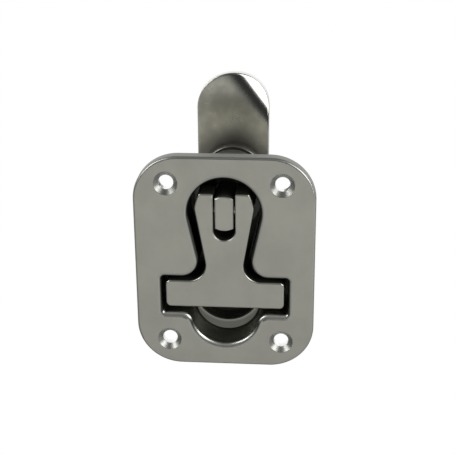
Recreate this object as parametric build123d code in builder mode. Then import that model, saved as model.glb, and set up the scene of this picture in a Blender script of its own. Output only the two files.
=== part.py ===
from build123d import *
from math import asin, atan2, cos, degrees, hypot, radians, sin, sqrt, tan
import os

# Flush lift-and-turn compression latch.
#
# X is across the faceplate, Z is up towards the cam's tip and Y runs from the front of the door to
# its inside. The origin is the centre of the four screws, on the mounting face behind the plate.
# The handle lies flush and the cam is drawn up tight. Lifting the handle rolls its heel over, which
# lets the spring push the spindle back, and a quarter turn then swings the cam clear.

# ---------------------------------------------------------------- driving dimensions (mm)
# faceplate and its screws
plate_width = 60.0
plate_height = 75.0
plate_thickness = 4.0
plate_corner_radius = 15.0
plate_edge_radius = 0.8
screw_pitch_x = 38.1
screw_pitch_z = 56.5
screw_hole_diameter = 5.0
screw_head_diameter = 8.0
screw_head_angle = 90.0

# recess, by its walls; the rim's rounding opens it further at the face
spindle_z = 18.0
head_radius = 12.0
neck_foot_half_width = 7.3
slot_width = 42.6
slot_top_z = -5.0
slot_bottom_z = -18.8
slot_corner_radius = 1.0
shoulder_radius = 6.0
bulge_radius = 11.6
bulge_z = -18.6
bulge_blend_radius = 4.0
rim_radius = 1.5
ledge_depth = 12.0
ledge_width = 3.7
well_depth = 16.6
well_step = 0.6
pan_wall = 2.2
pan_floor = 3.0
pan_back_chamfer = 1.0
barrel_wall = 3.0
barrel_chamfer = 0.5

# spindle
spindle_diameter = 12.0
spindle_chamfer = 0.4
tang_chamfer = 0.3
tang_thickness = 6.0
tang_proud = 0.1
shaft_diameter = 10.0
shaft_flat_depth = 1.0
shaft_chamfer = 0.8
shaft_stand_out = 1.5
spigot_diameter = 6.0
spigot_length = 4.0

# handle, by what it leaves free in the recess
fork_gap = 2.15
fork_tip_step = 1.7
fork_tip_radius = 0.8
fork_wide_rise = 1.6
fork_side_radius = 14.0
cheek_radius = 4.0
fork_slot_foot_gap = 3.5
fork_slot_chamfer = 0.3
neck_gap = 2.0
neck_fillet_radius = 5.8
neck_thickness = 6.5
neck_back_drop = 14.0
bar_side_gap = 1.3
bar_top_gap = 1.2
bar_bottom_gap = 2.9
bar_thickness = 7.5
bar_corner_radius = 1.7
handle_edge_radius = 0.6
heel_corner = 2.6
heel_foot_drop = 6.5
heel_foot_radius = 1.5
heel_steps = 6
pin_diameter = 4.0
pin_depth = 5.0
pin_sunk = 0.6
compression = 3.0
lift_angle = 90.0

# seal, bushes, spring and gland
thrust_washer_thickness = 1.5
o_ring_section = 1.6
bush_wall = 1.05
bush_length = 2.0
bush_flange_thickness = 0.8
spring_wire = 1.2
spring_wire_height = 1.0
spring_turns = 3.2
spring_length = 5.3
seat_thickness = 0.9
circlip_thickness = 0.9
circlip_groove = 0.4
circlip_ring_width = 1.6
circlip_mouth = 4.0
gland_thread_depth = 0.7
gland_lip = 1.6
gland_wall = 1.2
spanner_slot_width = 2.0
spanner_slot_depth = 0.9
rear_bush_wall = 1.2

# quarter-turn stop
turn_angle = 90.0
stop_pin_diameter = 1.8
stop_pin_seat = 5.0
stop_pin_engagement = 1.2
stop_pin_chamfer = 0.2
stop_washer_thickness = 1.5
stop_washer_inset = 0.5
stop_angle_gap = 1.5

# cam and its fixings
cam_width = 25.4
cam_reach = 37.2
cam_thickness = 3.0
cam_bend_angle = 27.0
cam_bend_radius = 5.0
cam_bend_direction = 53.0
cam_bend_setback = 15.0
cam_edge_chamfer = 0.3
cam_washer_radius = 11.0
cam_washer_thickness = 1.5
cam_washer_chamfer = 0.2
jam_nut_thickness = 3.5
nut_wall = 2.0
nut_corner_angle = 30.0
lock_washer_thickness = 1.6
lock_washer_width = 3.0
lock_washer_mouth = 2.0
lock_nut_hex = 4.8
lock_nut_height = 6.5
lock_nut_collar_wall = 0.55
lock_nut_collar_chamfer = 0.35
insert_length = 1.4
insert_wall = 0.9

# clearances
running_gap = 0.05
seat_gap = 0.02
flat_gap = 0.05
heel_gap = 0.12
tang_side_gap = 0.65
spring_guide_gap = 0.3
spring_chamber_gap = 0.3
stop_gap = 0.3

# ---------------------------------------------------------------- places worked out from them
face_y = -plate_thickness
ledge_y = face_y + ledge_depth
well_y = face_y + well_depth
well_end_radius = bulge_radius - well_step
well_end_z = bulge_z + ledge_width

# round sizes about the spindle, from the inside out
spindle_radius = spindle_diameter / 2
spindle_bore_radius = spindle_radius + running_gap
shaft_radius = shaft_diameter / 2
shaft_bore_radius = shaft_radius + running_gap
bush_radius = spindle_bore_radius + bush_wall
seal_radius = spindle_bore_radius + o_ring_section
spring_radius = spindle_radius + spring_guide_gap + spring_wire
chamber_radius = spring_radius + spring_chamber_gap
gland_radius = chamber_radius + gland_thread_depth
barrel_radius = gland_radius + barrel_wall
circlip_radius = shaft_radius - circlip_groove + seat_gap
rear_bush_radius = shaft_bore_radius + rear_bush_wall
insert_radius = shaft_bore_radius + insert_wall
stop_pin_circle = gland_radius + barrel_wall / 2
stop_washer_radius = barrel_radius - stop_washer_inset
notch_radius = stop_pin_circle - stop_pin_diameter / 2 - stop_gap
notch_margin = degrees(asin(stop_pin_diameter / 2 / stop_pin_circle)) + stop_angle_gap
notch_angle = turn_angle + 2 * notch_margin
nut_face_radius = shaft_radius + nut_wall
nut_corner_radius = 2 * nut_face_radius / sqrt(3)

# stations along the spindle, from the recess to the shaft's end
washer_front_y = well_y - thrust_washer_thickness
tang_shoulder_y = washer_front_y + heel_gap
seal_end_y = well_y + o_ring_section
chamber_y = seal_end_y + bush_length
spring_y = chamber_y + bush_flange_thickness + flat_gap
head_rear_y = chamber_y + bush_flange_thickness - flat_gap
shaft_front_y = head_rear_y + flat_gap
seat_y = spring_y + spring_length + flat_gap
circlip_y = seat_y + seat_thickness
barrel_end_y = circlip_y + circlip_thickness + compression + stop_gap + gland_lip
gland_y = barrel_end_y - gland_lip - circlip_thickness
stop_washer_y = barrel_end_y + stop_gap
stop_pin_end_y = stop_washer_y + compression + stop_pin_engagement
jam_nut_y = stop_washer_y + stop_washer_thickness
front_washer_y = jam_nut_y + jam_nut_thickness
cam_y = front_washer_y + cam_washer_thickness
rear_washer_y = cam_y + cam_thickness
lock_washer_y = rear_washer_y + cam_washer_thickness
lock_nut_y = lock_washer_y + lock_washer_thickness
insert_y = lock_nut_y + lock_nut_height - insert_length
shaft_end_y = lock_nut_y + lock_nut_height + shaft_stand_out

# handle; its heel reaches back from the pin, less as the handle is lifted
pin_y = face_y + pin_depth
heel_reach = washer_front_y - heel_gap - pin_y
heel_roll = compression / radians(lift_angle)
heel_y = pin_y + heel_reach
fork_top_z = spindle_z + heel_reach - compression
fork_half_width = head_radius - fork_gap
fork_wide_z = spindle_z + fork_wide_rise
fork_slot_width = tang_thickness + 2 * tang_side_gap
fork_slot_foot_z = spindle_z - spindle_radius - fork_slot_foot_gap
heel_foot_z = spindle_z - heel_foot_drop
neck_back_y = face_y + neck_thickness
bar_half_length = slot_width / 2 - bar_side_gap
bar_top_z = slot_top_z - bar_top_gap
bar_bottom_z = slot_bottom_z + bar_bottom_gap
bar_back_y = face_y + bar_thickness

# cam's bend, across the line where its two flat fronts would meet
bend_distance = cam_reach - cam_bend_setback
bend_across_x = sin(radians(cam_bend_direction))
bend_across_z = cos(radians(cam_bend_direction))
bend_run = (cam_bend_radius + cam_thickness) * tan(radians(cam_bend_angle) / 2)
bend_end = (bend_run * cos(radians(cam_bend_angle)), bend_run * sin(radians(cam_bend_angle)))
bend_section = Plane(
    origin=(bend_distance * bend_across_x, cam_y, spindle_z + bend_distance * bend_across_z),
    x_dir=(bend_across_x, 0, bend_across_z),
    z_dir=(-bend_across_z, 0, bend_across_x),
)
spindle_axis = Axis((0, 0, spindle_z), (0, 1, 0))

os.makedirs("parts", exist_ok=True)


def at_face(depth=0.0):
    """Plane of the faceplate's front, sunk by a depth, with its normal towards the viewer."""
    return Plane.XZ.offset(plate_thickness - depth)


def on_spindle(y):
    """Plane square to the spindle at a distance behind the mounting face, normal to the rear."""
    return Plane(origin=(0, y, spindle_z), x_dir=(1, 0, 0), z_dir=(0, 1, 0))


def neck_corners(radius, foot_half_width, foot_z):
    """Four corners of a neck whose sides leave a circle at the spindle along its tangents."""
    drop = spindle_z - foot_z
    lean = asin(radius / hypot(foot_half_width, drop)) - atan2(foot_half_width, drop)
    top_x = radius * cos(lean)
    top_z = spindle_z - radius * sin(lean)
    return [(-top_x, top_z), (top_x, top_z), (foot_half_width, foot_z), (-foot_half_width, foot_z)]


def corners_at(sketch, height):
    """Corners of a sketch that lie at a height, from left to right."""
    return sketch.vertices().filter_by_position(Axis.Y, height - seat_gap, height + seat_gap).sort_by(Axis.X)


def draw_recess(sketch, wall=0.0):
    """Round head, tapering neck, slot for the bar and finger bulge, grown by a wall."""
    top_z = slot_top_z + wall
    bottom_z = slot_bottom_z - wall
    with Locations((0, spindle_z)):
        Circle(head_radius + wall)
    Polygon(*neck_corners(head_radius + wall, neck_foot_half_width + wall, top_z), align=None)
    with Locations((0, (top_z + bottom_z) / 2)):
        Rectangle(slot_width + 2 * wall, top_z - bottom_z)
    with Locations((0, bulge_z)):
        Circle(bulge_radius + wall)
    fillet(corners_at(sketch, top_z)[1:-1], radius=shoulder_radius - wall)
    fillet(corners_at(sketch, bottom_z)[1:-1], radius=bulge_blend_radius - wall)
    sides = sketch.vertices().group_by(Axis.X)
    fillet(sides[0] + sides[-1], radius=slot_corner_radius + wall)


def draw_well(wall=0.0):
    """Deeper channel under the handle, a keyhole ending in a half round, grown by a wall."""
    radius = head_radius - well_step + wall
    foot_half_width = neck_foot_half_width - well_step + wall
    with Locations((0, spindle_z)):
        Circle(radius)
    Polygon(*neck_corners(radius, foot_half_width, slot_top_z), align=None)
    with Locations((0, (slot_top_z + well_end_z) / 2)):
        Rectangle(2 * foot_half_width, slot_top_z - well_end_z)
    with Locations((0, well_end_z)):
        Circle(well_end_radius + wall)


def draw_drive(gap=0.0):
    """Round section with two flats, as the shaft drives the stop washer and cam, grown by a gap."""
    Circle(shaft_radius + gap)
    Rectangle(2 * (shaft_radius - shaft_flat_depth + gap), 2 * (shaft_radius + gap), mode=Mode.INTERSECT)


def heel_point(turn):
    """Point of the heel's involute, seen from the side, whose normal leans up by an angle."""
    reach = heel_reach - heel_roll * turn
    return (
        pin_y + reach * cos(turn) + heel_roll * sin(turn),
        spindle_z + reach * sin(turn) - heel_roll * cos(turn),
    )


def nut_profile(start_y, thickness):
    """Half section of the turned disc that a hexagon nut's corners are trimmed to."""
    drop = (nut_corner_radius - nut_face_radius) * tan(radians(nut_corner_angle))
    end_y = start_y + thickness
    return [
        (start_y, spindle_z),
        (start_y, spindle_z + nut_face_radius),
        (start_y + drop, spindle_z + nut_corner_radius),
        (end_y - drop, spindle_z + nut_corner_radius),
        (end_y, spindle_z + nut_face_radius),
        (end_y, spindle_z),
    ]


# ---------------------------------------------------------------- housing
with BuildPart() as housing:
    # faceplate with a rounded front edge
    with BuildSketch(Plane.XZ):
        RectangleRounded(plate_width, plate_height, plate_corner_radius)
    extrude(amount=plate_thickness)
    fillet(housing.faces().sort_by(Axis.Y)[0].edges(), radius=plate_edge_radius)
    # pan: an even wall around the recess, then around the well, with bevelled backs
    with BuildSketch(Plane.XZ) as pan_outline:
        draw_recess(pan_outline, pan_wall)
    extrude(amount=-(ledge_y + pan_floor))
    chamfer(housing.faces().sort_by(Axis.Y)[-1].edges(), length=pan_back_chamfer)
    with BuildSketch(Plane.XZ):
        draw_well(pan_wall)
    extrude(amount=-(well_y + pan_floor))
    chamfer(housing.faces().sort_by(Axis.Y)[-1].edges(), length=pan_back_chamfer)
    # barrel around the spindle
    with BuildSketch(on_spindle(well_y)):
        Circle(barrel_radius)
    extrude(amount=barrel_end_y - well_y)
    chamfer(housing.edges().sort_by(Axis.Y)[-1], length=barrel_chamfer)
    # recess with a rounded rim, and the well in its floor
    with BuildSketch(at_face()) as recess_outline:
        draw_recess(recess_outline)
    extrude(amount=-ledge_depth, mode=Mode.SUBTRACT)
    with BuildSketch(at_face(ledge_depth)):
        draw_well()
    extrude(amount=ledge_depth - well_depth, mode=Mode.SUBTRACT)
    mouth = housing.faces().sort_by(Axis.Y)[0].inner_wires().sort_by(SortBy.LENGTH)[-1]
    fillet(mouth.edges(), radius=rim_radius)
    # seal seat, bush bore, spring chamber and gland thread along the spindle
    for start_y, end_y, radius in (
        (well_y, seal_end_y, seal_radius),
        (seal_end_y, chamber_y, bush_radius + seat_gap),
        (chamber_y, barrel_end_y, chamber_radius),
        (gland_y, barrel_end_y, gland_radius),
    ):
        with BuildSketch(on_spindle(start_y)):
            Circle(radius)
        extrude(amount=end_y - start_y, mode=Mode.SUBTRACT)
    # hole for the stop pin in the barrel's end
    with BuildSketch(on_spindle(barrel_end_y)):
        with Locations((0, stop_pin_circle)):
            Circle(stop_pin_diameter / 2 + seat_gap)
    extrude(amount=-stop_pin_seat, mode=Mode.SUBTRACT)
    # countersunk screw holes
    with Locations(at_face()):
        with GridLocations(screw_pitch_x, screw_pitch_z, 2, 2):
            CounterSinkHole(
                radius=screw_hole_diameter / 2,
                counter_sink_radius=screw_head_diameter / 2,
                depth=plate_thickness,
                counter_sink_angle=screw_head_angle,
            )

housing.part.label = "housing"
export_step(housing.part, "parts/housing.step")

# ---------------------------------------------------------------- thrust washer, seal, front bush
with BuildPart() as thrust_washer:
    with BuildSketch(on_spindle(washer_front_y)):
        Circle(head_radius - well_step - flat_gap)
        Circle(spindle_bore_radius + running_gap, mode=Mode.SUBTRACT)
    extrude(amount=thrust_washer_thickness)

thrust_washer.part.label = "thrust_washer"
export_step(thrust_washer.part, "parts/thrust_washer.step")

with BuildPart() as spindle_o_ring:
    with BuildSketch(Plane.YZ):
        with Locations((well_y + o_ring_section / 2, spindle_z + spindle_bore_radius + o_ring_section / 2)):
            Circle((o_ring_section - seat_gap) / 2)
    revolve(axis=spindle_axis)

spindle_o_ring.part.label = "spindle_o_ring"
export_step(spindle_o_ring.part, "parts/spindle_o_ring.step")

with BuildPart() as front_bush:
    with BuildSketch(on_spindle(seal_end_y)):
        Circle(bush_radius)
    extrude(amount=bush_length)
    with BuildSketch(on_spindle(chamber_y)):
        Circle(chamber_radius - flat_gap)
    extrude(amount=bush_flange_thickness)
    with BuildSketch(on_spindle(seal_end_y)):
        Circle(spindle_bore_radius)
    extrude(amount=bush_length + bush_flange_thickness, mode=Mode.SUBTRACT)

front_bush.part.label = "front_bush"
export_step(front_bush.part, "parts/front_bush.step")

# ---------------------------------------------------------------- spindle
with BuildPart() as spindle_head:
    with BuildSketch(on_spindle(face_y - tang_proud)):
        Circle(spindle_radius)
    extrude(amount=head_rear_y - face_y + tang_proud)
    chamfer(spindle_head.edges().sort_by(Axis.Y)[-1], length=spindle_chamfer)
    # two flats leave the tang between the fork's prongs
    with BuildSketch(on_spindle(face_y - tang_proud)):
        with Locations((-spindle_radius, 0), (spindle_radius, 0)):
            Rectangle(spindle_diameter - tang_thickness, spindle_diameter)
    extrude(amount=tang_shoulder_y - face_y + tang_proud, mode=Mode.SUBTRACT)
    chamfer(spindle_head.faces().sort_by(Axis.Y)[0].edges(), length=tang_chamfer)
    # cross bore for the pin and socket for the shaft's spigot
    with BuildSketch(Plane.YZ):
        with Locations((pin_y, spindle_z)):
            Circle(pin_diameter / 2 + running_gap)
    extrude(amount=tang_thickness, both=True, mode=Mode.SUBTRACT)
    with BuildSketch(on_spindle(head_rear_y)):
        Circle(spigot_diameter / 2 + running_gap)
    extrude(amount=-(spigot_length + stop_gap), mode=Mode.SUBTRACT)

spindle_head.part.label = "spindle_head"
export_step(spindle_head.part, "parts/spindle_head.step")

with BuildPart() as spindle_shaft:
    with BuildSketch(on_spindle(shaft_front_y)):
        Circle(shaft_radius)
    extrude(amount=shaft_end_y - shaft_front_y)
    chamfer(spindle_shaft.edges().sort_by(Axis.Y)[-1], length=shaft_chamfer)
    with BuildSketch(on_spindle(shaft_front_y)):
        Circle(spigot_diameter / 2)
    extrude(amount=-spigot_length)
    # groove for the circlip
    with BuildSketch(on_spindle(circlip_y)):
        Circle(shaft_radius)
        Circle(shaft_radius - circlip_groove, mode=Mode.SUBTRACT)
    extrude(amount=circlip_thickness + seat_gap, mode=Mode.SUBTRACT)
    # flats that drive the stop washer and the cam
    with BuildSketch(on_spindle(barrel_end_y + flat_gap)):
        with Locations((-shaft_radius, 0), (shaft_radius, 0)):
            Rectangle(2 * shaft_flat_depth, shaft_diameter)
    extrude(amount=shaft_end_y - barrel_end_y, mode=Mode.SUBTRACT)

spindle_shaft.part.label = "spindle_shaft"
export_step(spindle_shaft.part, "parts/spindle_shaft.step")

# ---------------------------------------------------------------- handle and its pin
heel_turns = [radians(lift_angle) * (1 - step / heel_steps) for step in range(heel_steps + 1)]

with BuildPart() as t_handle:
    # front view: fork, tapering neck and bar
    with BuildSketch(at_face()) as handle_outline:
        with BuildLine():
            tip = Line((0, fork_top_z), (fork_half_width - fork_tip_step, fork_top_z))
            cheek = RadiusArc(tip @ 1, (fork_half_width, fork_wide_z), fork_side_radius)
            Polyline(
                cheek @ 1,
                (neck_foot_half_width - neck_gap, bar_top_z),
                (bar_half_length, bar_top_z),
                (bar_half_length, bar_bottom_z),
                (0, bar_bottom_z),
            )
            mirror(about=Plane.YZ)
        make_face()
        fillet(corners_at(handle_outline, bar_top_z)[1:-1], radius=neck_fillet_radius)
        fillet(corners_at(handle_outline, fork_wide_z), radius=cheek_radius)
        fillet(handle_outline.vertices().group_by(Axis.Y)[-1], radius=fork_tip_radius)
        ends = handle_outline.vertices().group_by(Axis.X)
        fillet(ends[0] + ends[-1], radius=bar_corner_radius)
    extrude(amount=face_y - heel_y)
    fillet(t_handle.faces().sort_by(Axis.Y)[0].edges(), radius=handle_edge_radius)
    # side view: the heel is the involute of a circle, so that the spindle moves evenly with the lift
    with BuildSketch(Plane.YZ) as handle_side:
        with BuildLine():
            heel = Spline(*[heel_point(turn) for turn in heel_turns], tangents=[(1, 0), (0, -1)])
            Polyline(
                heel @ 1,
                (heel_y, heel_foot_z),
                (neck_back_y, spindle_z - neck_back_drop),
                (neck_back_y, bar_top_z),
                (bar_back_y, bar_top_z - bar_thickness + neck_thickness),
                (bar_back_y, bar_bottom_z),
                (face_y, bar_bottom_z),
                (face_y, fork_top_z),
                heel @ 0,
            )
        make_face()
        fillet(handle_side.vertices().group_by(Axis.X)[-1].sort_by(Axis.Y)[0], radius=heel_foot_radius)
    extrude(amount=slot_width, both=True, mode=Mode.INTERSECT)
    # top view: the heel's outer corners are taken off, so that the raised fork can turn in the recess
    with BuildSketch(Plane.XY) as handle_top:
        with BuildLine():
            Polyline(
                (0, face_y),
                (bar_half_length, face_y),
                (bar_half_length, heel_y - heel_corner),
                (fork_half_width, heel_y - heel_corner),
                (fork_half_width - heel_corner, heel_y),
                (0, heel_y),
            )
            mirror(about=Plane.YZ)
        make_face()
    extrude(amount=plate_height, both=True, mode=Mode.INTERSECT)
    # slot around the tang, round at its foot, and the pin's bore
    with BuildSketch(at_face()):
        with Locations((0, fork_slot_foot_z + fork_slot_width / 2)):
            Circle(fork_slot_width / 2)
            Rectangle(fork_slot_width, plate_height, align=(Align.CENTER, Align.MIN))
    extrude(amount=face_y - heel_y, mode=Mode.SUBTRACT)
    slot_edges = t_handle.faces().sort_by(Axis.Y)[0].edges().filter_by_position(
        Axis.X, -fork_slot_width / 2 - seat_gap, fork_slot_width / 2 + seat_gap
    )
    chamfer(slot_edges.filter_by_position(Axis.Z, bar_top_z, fork_top_z), length=fork_slot_chamfer)
    with BuildSketch(Plane.YZ):
        with Locations((pin_y, spindle_z)):
            Circle(pin_diameter / 2 + seat_gap)
    extrude(amount=fork_half_width, both=True, mode=Mode.SUBTRACT)

t_handle.part.label = "t_handle"
export_step(t_handle.part, "parts/t_handle.step")

with BuildPart() as pivot_pin:
    with BuildSketch(Plane.YZ):
        with Locations((pin_y, spindle_z)):
            Circle(pin_diameter / 2)
    extrude(amount=fork_half_width - pin_sunk, both=True)
    chamfer(pivot_pin.edges().filter_by(GeomType.CIRCLE), length=spindle_chamfer)

pivot_pin.part.label = "pivot_pin"
export_step(pivot_pin.part, "parts/pivot_pin.step")

# ---------------------------------------------------------------- return spring and what holds it
with BuildPart() as return_spring:
    with BuildLine() as coil:
        Helix(
            pitch=(spring_length - spring_wire_height) / spring_turns,
            height=spring_length - spring_wire_height,
            radius=spring_radius - spring_wire / 2,
            center=(0, spring_y + spring_wire_height / 2, spindle_z),
            direction=(0, 1, 0),
        )
    with BuildSketch(Plane(origin=coil.line @ 0, x_dir=(0, 0, 1), z_dir=coil.line % 0)):
        Rectangle(spring_wire, spring_wire_height)
    sweep(is_frenet=True)

return_spring.part.label = "return_spring"
export_step(return_spring.part, "parts/return_spring.step")

with BuildPart() as spring_seat:
    with BuildSketch(on_spindle(seat_y)):
        Circle(spring_radius)
        Circle(shaft_bore_radius, mode=Mode.SUBTRACT)
    extrude(amount=seat_thickness)

spring_seat.part.label = "spring_seat"
export_step(spring_seat.part, "parts/spring_seat.step")

with BuildPart() as spring_circlip:
    with BuildSketch(on_spindle(circlip_y)):
        Circle(circlip_radius + circlip_ring_width)
        Circle(circlip_radius, mode=Mode.SUBTRACT)
        Rectangle(circlip_mouth, shaft_diameter, align=(Align.CENTER, Align.MIN), mode=Mode.SUBTRACT)
    extrude(amount=circlip_thickness)

spring_circlip.part.label = "spring_circlip"
export_step(spring_circlip.part, "parts/spring_circlip.step")

# ---------------------------------------------------------------- ring that closes the barrel
with BuildPart() as barrel_gland:
    with BuildSketch(on_spindle(gland_y)):
        Circle(gland_radius - seat_gap)
        Circle(rear_bush_radius + seat_gap, mode=Mode.SUBTRACT)
    extrude(amount=barrel_end_y - gland_y)
    # room for the circlip inside and two spanner slots outside
    with BuildSketch(on_spindle(gland_y)):
        Circle(gland_radius - gland_wall)
    extrude(amount=barrel_end_y - gland_lip - gland_y, mode=Mode.SUBTRACT)
    with BuildSketch(on_spindle(barrel_end_y)):
        Rectangle(2 * gland_radius, spanner_slot_width)
    extrude(amount=-spanner_slot_depth, mode=Mode.SUBTRACT)

barrel_gland.part.label = "barrel_gland"
export_step(barrel_gland.part, "parts/barrel_gland.step")

with BuildPart() as rear_bush:
    with BuildSketch(on_spindle(barrel_end_y)):
        Circle(rear_bush_radius)
        Circle(shaft_bore_radius, mode=Mode.SUBTRACT)
    extrude(amount=-gland_lip)

rear_bush.part.label = "rear_bush"
export_step(rear_bush.part, "parts/rear_bush.step")

# ---------------------------------------------------------------- quarter-turn stop
with BuildPart() as stop_pin:
    with BuildSketch(on_spindle(barrel_end_y - stop_pin_seat)):
        with Locations((0, stop_pin_circle)):
            Circle(stop_pin_diameter / 2)
    extrude(amount=stop_pin_end_y - barrel_end_y + stop_pin_seat)
    chamfer(stop_pin.edges().sort_by(Axis.Y)[-1], length=stop_pin_chamfer)

stop_pin.part.label = "stop_pin"
export_step(stop_pin.part, "parts/stop_pin.step")

with BuildPart() as stop_washer:
    with BuildSketch(on_spindle(stop_washer_y)):
        Circle(stop_washer_radius)
        # the notch runs from the pin's place at rest to its place after the turn
        with BuildLine():
            inner = CenterArc((0, 0), notch_radius, 90 - notch_margin, notch_angle)
            outer = CenterArc((0, 0), 2 * stop_washer_radius, 90 - notch_margin, notch_angle)
            Line(inner @ 0, outer @ 0)
            Line(inner @ 1, outer @ 1)
        make_face(mode=Mode.SUBTRACT)
    extrude(amount=stop_washer_thickness)
    with BuildSketch(on_spindle(stop_washer_y)):
        draw_drive(running_gap)
    extrude(amount=stop_washer_thickness, mode=Mode.SUBTRACT)

stop_washer.part.label = "stop_washer"
export_step(stop_washer.part, "parts/stop_washer.step")

# ---------------------------------------------------------------- cam
with BuildPart() as cam:
    # sheet seen along its bend: flat, a tangent arc and the leading corner set back
    with BuildSketch(bend_section):
        with BuildLine():
            flat = Line((-cam_reach - cam_width, 0), (-bend_run, 0))
            bend = TangentArc(flat @ 1, bend_end, tangent=flat % 1)
            rise = PolarLine(bend @ 1, cam_width, cam_bend_angle)
            end = PolarLine(rise @ 1, cam_thickness, cam_bend_angle + 90)
            back_rise = PolarLine(end @ 1, cam_width, cam_bend_angle + 180)
            back_bend = TangentArc(back_rise @ 1, (-bend_run, cam_thickness), tangent=back_rise % 1)
            Polyline(back_bend @ 1, (-cam_reach - cam_width, cam_thickness), flat @ 0)
        make_face()
    extrude(amount=cam_reach + cam_width, both=True)
    # trimmed to a plate with two full-round ends
    with BuildSketch(on_spindle(cam_y - cam_width)):
        with Locations((0, (cam_width / 2 - cam_reach) / 2)):
            SlotCenterToCenter(cam_reach - cam_width / 2, cam_width, rotation=90)
    extrude(amount=3 * cam_width, mode=Mode.INTERSECT)
    chamfer(cam.edges(), length=cam_edge_chamfer)
    with BuildSketch(on_spindle(cam_y)):
        draw_drive(running_gap)
    extrude(amount=cam_thickness, mode=Mode.SUBTRACT)

cam.part.label = "cam"
export_step(cam.part, "parts/cam.step")

# ---------------------------------------------------------------- washers and nuts on the shaft
for washer_name, washer_y in (("front_cam_washer", front_washer_y), ("rear_cam_washer", rear_washer_y)):
    with BuildPart() as cam_washer:
        with BuildSketch(on_spindle(washer_y)):
            Circle(cam_washer_radius)
            Circle(shaft_bore_radius, mode=Mode.SUBTRACT)
        extrude(amount=cam_washer_thickness)
        rims = cam_washer.edges().group_by(SortBy.LENGTH)[-1]
        chamfer(rims, length=cam_washer_chamfer)

    cam_washer.part.label = washer_name
    export_step(cam_washer.part, f"parts/{washer_name}.step")

with BuildPart() as jam_nut:
    with BuildSketch(on_spindle(jam_nut_y)):
        RegularPolygon(nut_face_radius, 6, major_radius=False)
        Circle(shaft_bore_radius, mode=Mode.SUBTRACT)
    extrude(amount=jam_nut_thickness)
    with BuildSketch(Plane.YZ):
        Polygon(*nut_profile(jam_nut_y, jam_nut_thickness), align=None)
    revolve(axis=spindle_axis, mode=Mode.INTERSECT)

jam_nut.part.label = "jam_nut"
export_step(jam_nut.part, "parts/jam_nut.step")

with BuildPart() as lock_washer:
    with BuildSketch(on_spindle(lock_washer_y)):
        Circle(shaft_bore_radius + lock_washer_width)
        Circle(shaft_bore_radius, mode=Mode.SUBTRACT)
        Rectangle(lock_washer_mouth, shaft_diameter, align=(Align.CENTER, Align.MIN), mode=Mode.SUBTRACT)
    extrude(amount=lock_washer_thickness)

lock_washer.part.label = "lock_washer"
export_step(lock_washer.part, "parts/lock_washer.step")

with BuildPart() as lock_nut:
    with BuildSketch(on_spindle(lock_nut_y)):
        RegularPolygon(nut_face_radius, 6, major_radius=False)
    extrude(amount=lock_nut_hex)
    with BuildSketch(Plane.YZ):
        Polygon(*nut_profile(lock_nut_y, lock_nut_hex), align=None)
    revolve(axis=spindle_axis, mode=Mode.INTERSECT)
    # collar rolled over the locking ring
    with BuildSketch(on_spindle(lock_nut_y)):
        Circle(insert_radius + lock_nut_collar_wall)
    extrude(amount=lock_nut_height)
    chamfer(lock_nut.edges().sort_by(Axis.Y)[-1], length=lock_nut_collar_chamfer)
    for start_y, radius in ((lock_nut_y, shaft_bore_radius), (insert_y, insert_radius)):
        with BuildSketch(on_spindle(start_y)):
            Circle(radius)
        extrude(amount=lock_nut_height, mode=Mode.SUBTRACT)

lock_nut.part.label = "lock_nut"
export_step(lock_nut.part, "parts/lock_nut.step")

with BuildPart() as nylon_insert:
    with BuildSketch(on_spindle(insert_y)):
        Circle(insert_radius - seat_gap)
        Circle(shaft_radius + seat_gap, mode=Mode.SUBTRACT)
    extrude(amount=insert_length)

nylon_insert.part.label = "nylon_insert"
export_step(nylon_insert.part, "parts/nylon_insert.step")
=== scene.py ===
"""Looks of a flush lift-and-turn compression latch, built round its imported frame.

The latch is stainless throughout: a satin investment casting holds a T-handle and a barrel, and a
bent cam stands behind them on a threaded spindle. Lengths are in metres, X runs across the
faceplate, Y into the door and Z up towards the cam's tip.
"""

from __future__ import annotations

import logging
import math
from dataclasses import dataclass
from enum import Enum
from typing import Any, Mapping, Optional, Sequence, Tuple, Union

import bpy
import numpy as np
from mathutils import Matrix, Vector

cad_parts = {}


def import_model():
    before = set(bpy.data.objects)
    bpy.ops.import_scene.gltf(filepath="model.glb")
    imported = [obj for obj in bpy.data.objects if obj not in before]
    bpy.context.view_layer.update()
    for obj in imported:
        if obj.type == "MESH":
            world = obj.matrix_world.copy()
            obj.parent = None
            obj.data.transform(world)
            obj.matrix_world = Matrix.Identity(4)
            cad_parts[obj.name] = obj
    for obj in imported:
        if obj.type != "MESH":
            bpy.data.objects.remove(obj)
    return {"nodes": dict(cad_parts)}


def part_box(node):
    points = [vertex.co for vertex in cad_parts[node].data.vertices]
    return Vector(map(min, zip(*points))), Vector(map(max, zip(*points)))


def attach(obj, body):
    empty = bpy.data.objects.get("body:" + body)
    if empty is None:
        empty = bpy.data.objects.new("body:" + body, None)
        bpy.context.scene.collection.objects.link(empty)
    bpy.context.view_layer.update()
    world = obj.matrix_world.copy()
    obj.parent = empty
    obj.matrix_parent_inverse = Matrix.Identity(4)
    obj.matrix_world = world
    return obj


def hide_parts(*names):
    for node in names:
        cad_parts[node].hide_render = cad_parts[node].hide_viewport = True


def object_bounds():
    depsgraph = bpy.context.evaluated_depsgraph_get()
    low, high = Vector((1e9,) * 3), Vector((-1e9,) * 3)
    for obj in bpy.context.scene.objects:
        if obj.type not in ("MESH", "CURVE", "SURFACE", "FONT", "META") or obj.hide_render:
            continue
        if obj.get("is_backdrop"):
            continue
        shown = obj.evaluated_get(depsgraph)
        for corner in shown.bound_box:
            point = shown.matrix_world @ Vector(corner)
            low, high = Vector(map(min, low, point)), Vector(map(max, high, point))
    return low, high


LOG = logging.getLogger("latch")
MM = 0.001
TINY = 1e-6
Colour = Tuple[float, float, float]
Triple = Tuple[float, float, float]
Pair = Tuple[float, float]
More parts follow.
